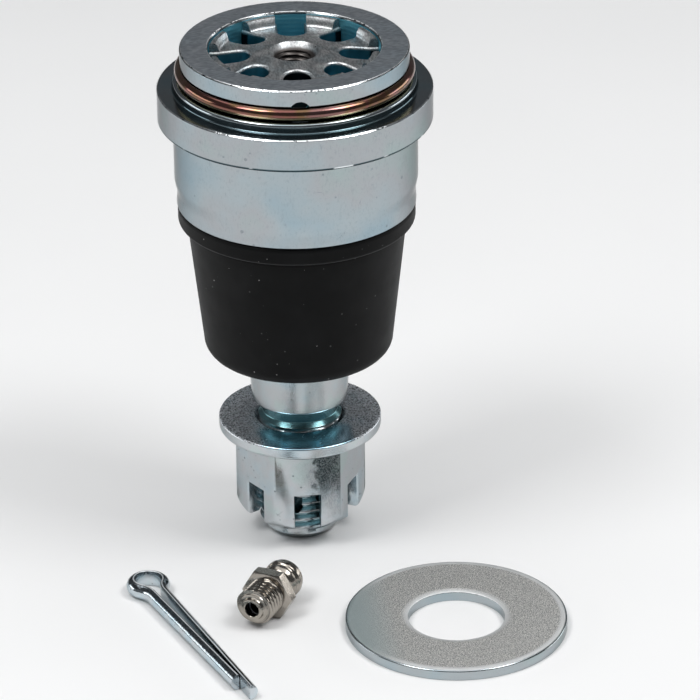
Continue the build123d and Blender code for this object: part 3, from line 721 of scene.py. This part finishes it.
finish.bump(shader["Normal"], relief, 0.3, 0.02)
dress(stud, stud_zinc, "stud", ["ball_stud"])

# ---------------------------------------------------------------- castle nut
# A zinc-plated flanged hexagon nut with six slots milled across its lower end. The split pin goes
# through two of them and the cross hole of the stud, so that the nut can't come undone.
NUT_TOP = -46.5
NUT_BOTTOM = -63.7
NUT_HALF = 9.5
NUT_FLANGE_R = 13.6
NUT_BORE_R = 7.05
NUT_FACE_R = 9.3
NUT_CORNER_DROP = 3.0
SLOT_HALF = 2.15
SLOT_TOP = NUT_BOTTOM + 6.3


def hexagon(half, round_r=0.3, turn=0.0):
    """A hexagon bar's section with its corners a little rounded."""
    outline = []
    for k in range(6):
        corner = turn + math.pi * k / 3
        middle = (half - round_r) / math.cos(math.pi / 6)
        for step in range(-2, 3):
            a = corner + math.radians(15 * step)
            outline.append((middle * math.cos(corner) + round_r * math.cos(a),
                            middle * math.sin(corner) + round_r * math.sin(a)))
    return outline


nut = block("flanged_castle_nut", hexagon(NUT_HALF), NUT_BOTTOM, NUT_TOP - 0.5)
corner_r = NUT_HALF / math.cos(math.pi / 6)
drop = corner_r - NUT_FACE_R
bow = (drop**2 + NUT_CORNER_DROP**2) / (2 * drop)
turned_down = [(0, NUT_BOTTOM), (NUT_FACE_R, NUT_BOTTOM)]
for k in range(1, 13):
    under = NUT_CORNER_DROP * (1 - k / 12)
    turned_down.append((corner_r - bow + math.sqrt(bow**2 - under**2), NUT_BOTTOM + NUT_CORNER_DROP - under))
envelope = turned("envelope", turned_down + [(corner_r + 1, NUT_BOTTOM + 4), (corner_r + 1, 0), (0, 0)], segments=192)
work(nut, envelope, "INTERSECT")
flange = turned("flange", rounded([
    (0, NUT_TOP, 0), (NUT_FLANGE_R, NUT_TOP, 0.35), (NUT_FLANGE_R, NUT_TOP - 1.8, 0.45),
    (NUT_HALF - 0.3, NUT_TOP - 4.3, 0), (0, NUT_TOP - 4.3, 0),
]), segments=192)
work(nut, flange, "UNION")
bore_side = [(0, 1), (NUT_BORE_R + 0.6, 1), (NUT_BORE_R + 0.6, 0), (NUT_BORE_R, -0.6)]
work(nut, turned("bore", [(r, NUT_TOP + h) for r, h in bore_side] + [
    (NUT_BORE_R, NUT_BOTTOM + 0.6), (NUT_BORE_R + 0.6, NUT_BOTTOM),
    (NUT_BORE_R + 0.6, NUT_BOTTOM - 1), (0, NUT_BOTTOM - 1),
], segments=96))
flare = [(SLOT_HALF, 9.2), (SLOT_HALF + 0.06, 9.38), (SLOT_HALF + 0.2, 9.52), (SLOT_HALF + 0.2, 16)]
for k in range(3):
    lower_half = [(-x, -y) for x, y in flare] + [(x, -y) for x, y in reversed(flare)]
    side = flare + [(-x, y) for x, y in reversed(flare)] + lower_half
    bar = block("bar", side, NUT_BOTTOM - 1, SLOT_TOP)
    bar.data.transform(Matrix.Rotation(math.pi * k / 3, 4, "Z"))
    work(nut, bar)
crisp(nut, 35)
nut_zinc, finish, shader = new_material("nut_zinc", Metallic=1.0, Specular_Tint=(0.6, 0.6, 0.6))
clouds = finish.use("plating_clouds", Base=(0.55, 0.60, 0.63), Amount=0.6, Size=6.0)["Color"]
pits = finish.use("specks", Size=0.6, Share=0.2, Width=0.3)["Mask"]
marks = finish.use("hair_scratches", Length=3.0, Amount=1.0)["Mask"]
mottle = finish.noise(1.1, 4.0)
spot = finish.use("turned_place")
face = finish.step(spot["Height"], NUT_TOP - 0.35, NUT_TOP - 0.15)
grit = finish.noise(0.28, 3.0)
frost = finish.step(finish.noise(0.3, 3.0, finish.place(turn=(0.4, 0.2, 0))), 0.34, 0.7)
# one flat has a dull dark patch where the coat is thin
where = finish.node("SeparateXYZ")
finish.feed(where.inputs[0], finish.place())
wiped_and_reflection = finish.step(finish.count("ABSOLUTE", where.outputs["X"]), 8.5 * MM, 7.0 * MM)
wiped_and_reflection = finish.count("MULTIPLY", wiped_and_reflection, finish.step(where.outputs["Y"], -4.0 * MM, -6.5 * MM))
frost = finish.count("MULTIPLY", frost, finish.scale(wiped_and_reflection, 1.0, 0.12))
ragged = finish.count("MULTIPLY_ADD", finish.count("SUBTRACT", finish.noise(1.2, 4.0), 0.5), 5.0, 0.0)
side = finish.count("MULTIPLY_ADD", where.outputs["X"], 1 / MM, ragged)
depth = finish.count("MULTIPLY_ADD", spot["Height"], 0.75, side)
patch = finish.count("MULTIPLY", finish.step(side, 0.8, 1.8), finish.step(depth, -44.5, -39.5))
patch = finish.count("MULTIPLY", patch, finish.step(where.outputs["Y"], -9.2 * MM, -9.4 * MM))
patch = finish.count("MULTIPLY", patch, finish.step(spot["Height"], NUT_TOP - 2.2, NUT_TOP - 2.9))
speckled = finish.count("MULTIPLY", patch, finish.scale(finish.step(finish.noise(0.16, 2.0), 0.4, 0.6), 0.55, 1.0))
colour = finish.blend(finish.count("MAXIMUM", pits, marks), clouds, (0.20, 0.23, 0.25))
fade = finish.scale(finish.step(spot["Height"], NUT_TOP - 13.0, NUT_TOP - 7.0), 0.45, 1.0)
colour = finish.blend(finish.count("MULTIPLY", speckled, fade), colour, (0.03, 0.04, 0.045))
# painted reflection: the front of the flange face, left smoother and without frost or sparkle, is painted light blue
colour = finish.blend(finish.count("MULTIPLY", face, wiped_and_reflection), colour, (0.46, 0.68, 0.80))
sparkle = finish.use("specks", Size=0.8, Share=0.4, Width=0.45)["Mask"]
sparkle = finish.count("MULTIPLY", sparkle, finish.scale(wiped_and_reflection, 1.0, 0.0))
colour = finish.blend(finish.count("MULTIPLY", face, sparkle), colour, (0.95, 0.97, 0.98))
finish.feed(shader["Base Color"], finish.blend(finish.count("MULTIPLY", face, frost), colour, (0.85, 0.88, 0.93)))
rough = finish.scale(mottle, 0.1, 0.3)
finish.feed(shader["Roughness"], finish.count("MULTIPLY_ADD", finish.count("MULTIPLY", face, frost), 0.4, rough))
relief = finish.count("MULTIPLY_ADD", grit, finish.scale(face, 0.5, 1.2), mottle)
finish.bump(shader["Normal"], relief, 0.3, 0.035)
dress(nut, nut_zinc, "stud", ["castle_nut"])

# ---------------------------------------------------------------- seats, disc spring and seal
# Inside the housing: two sintered steel seats round the ball, soaked in oil, a spring-steel disc
# that presses on the upper one, and a nitrile seal ring in the groove of the cap.
sintered, finish, shader = new_material("sintered_steel", Metallic=1.0)
oily = finish.noise(4.0, 3.0)
pores = finish.use("specks", Size=0.4, Share=0.5, Width=0.35)["Mask"]
colour = finish.blend(oily, (0.36, 0.34, 0.31), (0.46, 0.44, 0.41))
finish.feed(shader["Base Color"], finish.blend(pores, colour, (0.12, 0.11, 0.10)))
finish.feed(shader["Roughness"], finish.scale(oily, 0.3, 0.5))
finish.bump(shader["Normal"], finish.noise(0.3, 3.0), 0.2, 0.02)
coat("lower_seat", sintered)
coat("pressure_seat", sintered)
spring_steel, finish, shader = new_material("blued_spring_steel", Metallic=1.0)
plating = finish.use("plating_clouds", Base=(0.24, 0.26, 0.31), Amount=0.9, Size=3.0)["Color"]
finish.feed(shader["Base Color"], plating)
finish.feed(shader["Roughness"], finish.scale(finish.noise(0.7, 3.0), 0.25, 0.4))
finish.bump(shader["Normal"], finish.noise(0.25, 3.0), 0.2, 0.02)
coat("disc_spring", spring_steel)
coat("fitting_spring", spring_steel)
nitrile, finish, shader = new_material("nitrile_seal", Specular_IOR_Level=0.5)
finish.feed(shader["Base Color"], finish.blend(finish.noise(2.0), (0.010, 0.010, 0.011), (0.022, 0.022, 0.023)))
finish.feed(shader["Roughness"], finish.scale(finish.noise(0.6, 3.0), 0.35, 0.5))
finish.bump(shader["Normal"], finish.noise(0.2, 3.0), 0.2, 0.02)
coat("cap_seal", nitrile)

# ---------------------------------------------------------------- flat washer
# Punched from steel sheet, which leaves rolled edges above and a sharp burr below, tumbled and zinc
# plated. It lies loose beside the joint.
WASHER_AT = Vector((20.90, -37.78, STUD_END))
WASHER_R = 18.15
WASHER_BORE_R = 7.9
WASHER_T = 1.8
washer = turned("zinc_flat_washer", rounded([
    (WASHER_BORE_R, 0, 0.08), (WASHER_BORE_R, WASHER_T - 0.16, 0.22), (WASHER_BORE_R + 1.1, WASHER_T, 1.0),
    (WASHER_R - 0.7, WASHER_T, 0.8), (WASHER_R, WASHER_T - 0.1, 0.3), (WASHER_R, 0, 0.1),
], 6))
washer.data.transform(Matrix.Translation(WASHER_AT * MM))
crisp(washer, 50)
washer_zinc, finish, shader = new_material("washer_zinc", Metallic=1.0, Specular_Tint=(0.7, 0.7, 0.7))
clouds = finish.use("plating_clouds", Base=(0.60, 0.63, 0.64), Amount=0.5, Size=8.0)["Color"]
tumbled = finish.step(finish.noise(0.17, 2.0), 0.36, 0.64)
# the face lies in dull grain; one side of it and the sides are smoother and bluer; the rolled edges get a painted
# highlight
off = finish.node("VectorMath", operation="SUBTRACT")
finish.feed(off.inputs[0], finish.place())
off.inputs[1].default_value = WASHER_AT * MM
across = finish.node("VectorMath", operation="LENGTH")
finish.feed(across.inputs[0], off.outputs[0])
where = finish.node("SeparateXYZ")
finish.feed(where.inputs[0], off.outputs[0])
bright_side = finish.step(where.outputs["X"], -16.5 * MM, -9.0 * MM)
rim = finish.step(across.outputs["Value"], 18.1 * MM, 17.8 * MM)
grained = finish.count("MULTIPLY", rim, finish.step(where.outputs["Z"], 1.5 * MM, 1.62 * MM))
colour = finish.blend(tumbled, (1.0, 0.99, 0.96), (0.33, 0.335, 0.33))
colour = finish.blend(bright_side, (0.68, 0.77, 0.77), colour)
# painted highlight: the rolled edges round the bore and the rim are painted near white
bore_edge = finish.step(across.outputs["Value"], 9.4 * MM, 8.3 * MM)
outer_edge = finish.step(across.outputs["Value"], 16.8 * MM, 17.4 * MM)
rolled_edge_highlight = finish.count("MAXIMUM", bore_edge, outer_edge)
colour = finish.blend(finish.count("MULTIPLY", rolled_edge_highlight, bright_side), colour, (0.95, 0.96, 0.96))
finish.feed(shader["Base Color"], finish.blend(grained, finish.blend(0.5, clouds, (0.25, 0.32, 0.36)), colour))
dull = finish.count("MULTIPLY", grained, finish.scale(bright_side, 0.8, 1.0))
finish.feed(shader["Roughness"], finish.count("MULTIPLY_ADD", dull, 0.38, 0.16))
finish.bump(shader["Normal"], finish.count("MULTIPLY", tumbled, dull), 0.55, 0.05)
dress(washer, washer_zinc, "washer", ["flat_washer"])

# ---------------------------------------------------------------- split pin
# Half-round steel wire folded back on itself, flat sides together, with an open eye and one leg
# longer than the other, zinc plated after bending.
PIN_R = 1.4
PIN_AT = Vector((-27.94, -19.87, STUD_END + PIN_R))
PIN_ANGLE = math.radians(-71.1)
PIN_SLIT = 0.1
PIN_SPREAD = 1.6
PIN_EYE_R = 2.2
PIN_NECK_R = 5.0
SHORT_LEG = 35.5
LONG_LEG = 39.4

slope = (PIN_SPREAD - PIN_SLIT) / 2 / SHORT_LEG
tilt = math.atan(slope)
neck_off = PIN_NECK_R + PIN_SPREAD / 2 * math.cos(tilt)
neck_along = math.sqrt((PIN_EYE_R + PIN_NECK_R) ** 2 - neck_off**2)
eye_turn = math.atan2(neck_off, neck_along) - tilt
neck = Vector((math.cos(eye_turn), math.sin(eye_turn), 0)) * (PIN_EYE_R + PIN_NECK_R)
leg_start = neck - PIN_NECK_R * Vector((math.sin(tilt), math.cos(tilt), 0))
long_tip = Vector((LONG_LEG, PIN_SPREAD / 2 - LONG_LEG * slope, 0))
short_tip = Vector((SHORT_LEG, SHORT_LEG * slope - PIN_SPREAD / 2, 0))
mirror = Vector((1, -1, 1))
path = [long_tip.lerp(leg_start, k / 24) for k in range(24)]
path += arc(neck, PIN_NECK_R, -math.pi / 2 - tilt, eye_turn - math.pi, 12)
path += arc(Vector(), PIN_EYE_R, eye_turn, 2 * math.pi - eye_turn, 40)[1:]
path += arc(neck * mirror, PIN_NECK_R, math.pi - eye_turn, math.pi / 2 + tilt, 12)[1:]
path += [(leg_start * mirror).lerp(short_tip, k / 24) for k in range(1, 25)]
half_round = [(PIN_R * math.cos(a), PIN_R * math.sin(a)) for a in (math.radians(8 + 164 * k / 22) for k in range(23))]
half_round += [(-PIN_R + 0.12, 0.03), (-PIN_R + 0.3, 0), (0, 0), (PIN_R - 0.3, 0), (PIN_R - 0.12, 0.03)]
pin = swept("zinc_split_pin", path, half_round)
lay = Matrix.Translation(PIN_AT * MM) @ Matrix.Rotation(PIN_ANGLE, 4, "Z")
pin.data.transform(lay)
crisp(pin, 40)
pin_zinc, finish, shader = new_material("pin_zinc", Metallic=1.0, Specular_Tint=(0.7, 0.7, 0.7))
drawn = finish.noise(0.5, 3.0, finish.place(stretch=(1, 0.06, 1), turn=(0, 0, math.pi / 2 - PIN_ANGLE)))
pits = finish.use("specks", Size=0.5, Share=0.2, Width=0.3)["Mask"]
clouds = finish.use("plating_clouds", Base=(0.58, 0.65, 0.69), Amount=0.5, Size=4.0)["Color"]
way_up = finish.node("SeparateXYZ")
finish.feed(way_up.inputs[0], finish.place())
# painted reflection: the top of the legs is painted dark and broken up in flecks; a near-white painted highlight runs
# along the crest beside the slit
top = finish.step(way_up.outputs["Z"], (STUD_END + 2.0) * MM, (STUD_END + 2.35) * MM)
flecks = finish.scale(finish.step(finish.noise(0.3, 3.0), 0.35, 0.65), 0.4, 0.9)
colour = finish.blend(pits, clouds, (0.2, 0.22, 0.23))
colour = finish.blend(finish.count("MULTIPLY", top, flecks), colour, (0.05, 0.06, 0.07))
crest = finish.step(way_up.outputs["Z"], (STUD_END + 2.73) * MM, (STUD_END + 2.77) * MM)
finish.feed(shader["Base Color"], finish.blend(crest, colour, (0.93, 0.96, 0.98)))
finish.feed(shader["Roughness"], finish.count("MULTIPLY_ADD", crest, 0.4, finish.scale(drawn, 0.08, 0.2)))
finish.bump(shader["Normal"], drawn, 0.25, 0.03)
dress(pin, pin_zinc, "pin", ["split_pin"])

# ---------------------------------------------------------------- grease fitting
# Turned from hexagon bar and nickel plated: a 1/4-28 thread, a hexagon, a neck and a ribbed head.
# A steel ball on a spring shuts its mouth. It lies on a flat of its hexagon.
FITTING_ANGLE = math.radians(56.5)
FITTING_FLAT = 3.97
FITTING_AT = Vector((-12.40, -35.12, STUD_END + FITTING_FLAT))
FITTING_ROOT_R = 2.62
HEX_START = 5.2
HEX_END = 7.3
NECK_END = 9.0
FITTING_END = 13.7


def fitting_thread(angle, radius, height):
    if radius != PORT_ROOT_R:
        return radius
    depth = max(min(1, (HEX_START - 0.1 - height) / 0.4), 0)
    return radius - (PORT_ROOT_R - FITTING_ROOT_R) * depth * (1 - thread_form(angle, height, PORT_PITCH))


def head_radius(along):
    """Radius of the ribbed head, widest past its middle."""
    wide = HEX_END + 1.7 + 4.7 * 0.55
    reach = (along - wide) / (wide - NECK_END if along < wide else FITTING_END - wide)
    return 3.35 - (0.95 if along < wide else 1.55) * reach**2


thread_rows = [(PORT_ROOT_R, 0.8 + 0.06 * k) for k in range(73)]
ribs = []
for k in range(1, 47):
    along = NECK_END + 4.7 * k / 47
    rib = 0.2 * max(0, math.cos((along - NECK_END) * 2 * math.pi / 1.55)) if along < FITTING_END - 0.5 else 0
    ribs.append((head_radius(along) - rib, along))
fitting = turned("nickel_grease_fitting", [
    (1.275, 0.6), (1.275, 0.06), (1.34, 0.0), (1.72, 0.0), (1.84, 0.06), (1.9, 0.4), (2.0, 0.55), (2.4, 0.58),
    (2.5, 0.62), (2.58, 0.78), (2.75, 0.8),
] + thread_rows + [(2.65, HEX_START - 0.02), (2.65, HEX_START + 0.4), (2.3, HEX_START + 0.6), (2.3, HEX_END + 0.1),
                   (2.4, HEX_END + 0.15), (2.4, NECK_END - 0.1)] + ribs + [
    (1.7, FITTING_END), (1.15, FITTING_END), (0.8, FITTING_END - 0.35), (0.8, 13.0), (1.55, 13.0), (1.55, 0.6),
], fitting_thread, 144)
bar = block("hexagon_bar", hexagon(FITTING_FLAT, 0.1, math.pi / 6), HEX_START, HEX_END)
bevelled = turned("bevelled", [(0, HEX_START), (3.85, HEX_START), (4.7, HEX_START + 0.42), (4.7, HEX_END - 0.42),
                               (3.85, HEX_END), (0, HEX_END)], segments=96)
work(bar, bevelled, "INTERSECT")
drill(bar, (0, 0, HEX_START - 1), (0, 0, 1), 4, 2.0, 48)
work(fitting, bar, "UNION")
along = Vector((math.cos(FITTING_ANGLE), math.sin(FITTING_ANGLE), 0))
up = Vector((0, 0, 1))
lie = Matrix((up, along.cross(up), along)).transposed().to_4x4()
fitting.data.transform(Matrix.Translation(FITTING_AT * MM) @ lie)
crisp(fitting, 40)
nickel, finish, shader = new_material("satin_nickel", Metallic=1.0)
mottle = finish.noise(0.8, 4.0)
pits = finish.use("specks", Size=0.4, Share=0.2, Width=0.3)["Mask"]
warm = finish.blend(mottle, (0.29, 0.265, 0.23), (0.42, 0.39, 0.35))
off = finish.node("VectorMath", operation="CROSS_PRODUCT")
level = finish.node("VectorMath", operation="SUBTRACT")
finish.feed(level.inputs[0], finish.place())
level.inputs[1].default_value = FITTING_AT * MM
finish.feed(off.inputs[0], level.outputs[0])
off.inputs[1].default_value = along
depth = finish.node("VectorMath", operation="LENGTH")
finish.feed(depth.inputs[0], off.outputs[0])
# painted shade: the roots of the thread are darkened
root = finish.step(depth.outputs["Value"], 3.0 * MM, 2.75 * MM)
reach = finish.node("VectorMath", operation="DOT_PRODUCT")
finish.feed(reach.inputs[0], level.outputs[0])
reach.inputs[1].default_value = along
root = finish.count("MULTIPLY", root, finish.step(reach.outputs["Value"], 0.75 * MM, 0.9 * MM))
root = finish.count("MULTIPLY", root, finish.step(reach.outputs["Value"], 5.3 * MM, 5.2 * MM))
colour = finish.blend(finish.count("MULTIPLY", root, 0.85), warm, (0.05, 0.045, 0.04))
finish.feed(shader["Base Color"], finish.blend(pits, colour, (0.12, 0.11, 0.10)))
finish.feed(shader["Roughness"], finish.scale(mottle, 0.1, 0.24))
finish.bump(shader["Normal"], finish.count("ADD", mottle, finish.noise(0.2, 3.0)), 0.3, 0.03)
dress(fitting, nickel, "fitting", ["grease_fitting"])
ball_steel, finish, shader = new_material("ball_steel", Metallic=1.0)
finish.feed(shader["Base Color"], finish.use("plating_clouds", Base=(0.6, 0.6, 0.6), Amount=0.3, Size=2.0)["Color"])
finish.feed(shader["Roughness"], finish.scale(finish.noise(0.5, 2.0), 0.08, 0.16))
finish.bump(shader["Normal"], finish.noise(0.15, 2.0), 0.1, 0.01)
coat("fitting_ball", ball_steel)

# ---------------------------------------------------------------- floor, lights and camera
# A white sweep in a dim room: one large soft box overhead, two smaller ones high at the front sides,
# and two weak ones low at the sides, which draw the edges of the round pieces.
floor = block("floor", [(-1500, -1500), (1500, -1500), (1500, 1500), (-1500, 1500)], STUD_END - 5, STUD_END)
paper, finish, shader = new_material("white_paper", Roughness=0.9)
finish.feed(shader["Base Color"], finish.blend(finish.noise(60.0), (0.88, 0.88, 0.88), (0.92, 0.92, 0.92)))
floor.data.materials.append(paper)
world = bpy.data.worlds.new("studio")
bpy.context.scene.world = world
world.use_nodes = True
world.node_tree.nodes["Background"].inputs["Color"].default_value = (0.92, 0.96, 1.0, 1)
world.node_tree.nodes["Background"].inputs["Strength"].default_value = 0.12
bpy.context.scene.view_settings.view_transform = "Standard"


def soft_box(name, azimuth, elevation, distance, width, height, power, colour=(1, 1, 1)):
    """A soft box that looks at the joint; azimuth 0 is in front, in degrees and metres."""
    light = bpy.data.lights.new(name, "AREA")
    light.shape = "RECTANGLE"
    light.size, light.size_y, light.energy, light.color = width, height, power, colour
    box = bpy.data.objects.new(name, light)
    bpy.context.scene.collection.objects.link(box)
    a, e = math.radians(azimuth), math.radians(elevation)
    way = Vector((math.sin(a) * math.cos(e), -math.cos(a) * math.cos(e), math.sin(e)))
    box.location = way * distance + Vector((0, 0, -0.03))
    box.rotation_euler = way.to_track_quat("Z", "Y").to_euler()


soft_box("overhead", 0, 90, 1.0, 1.3, 1.3, 6.4)
soft_box("key_left", -60, 56, 0.9, 0.32, 0.32, 2.6)
soft_box("key_right", 60, 56, 0.9, 0.32, 0.32, 2.6)
soft_box("edge_left", -107, 11, 0.8, 0.5, 0.2, 0.9)
soft_box("edge_right", 107, 11, 0.8, 0.5, 0.2, 0.9)

VIEW_TURN = math.radians(-7.1)
VIEW_PITCH = math.radians(26.6)
VIEW_ROLL = math.radians(-0.6)
VIEW_DISTANCE = 0.834
VIEW_AIM = Vector((8.5, 0, -35)) * MM
FOCAL = 5000.0               # pixels, for an image 700 wide
PICTURE = 700
SENSOR = 36
turn = Matrix.Rotation(VIEW_TURN, 3, "Z")
back = Vector((0, -math.cos(VIEW_PITCH), math.sin(VIEW_PITCH)))
lens = bpy.data.cameras.new("camera")
camera = bpy.data.objects.new("camera", lens)
bpy.context.scene.collection.objects.link(camera)
camera.location = turn @ (VIEW_AIM + back * VIEW_DISTANCE)
facing = (turn @ back).to_track_quat("Z", "Y").to_matrix() @ Matrix.Rotation(VIEW_ROLL, 3, "Z")
camera.rotation_euler = facing.to_euler()
lens.sensor_width = SENSOR
lens.lens = FOCAL * SENSOR / PICTURE
lens.clip_start = 0.01
bpy.context.scene.camera = camera
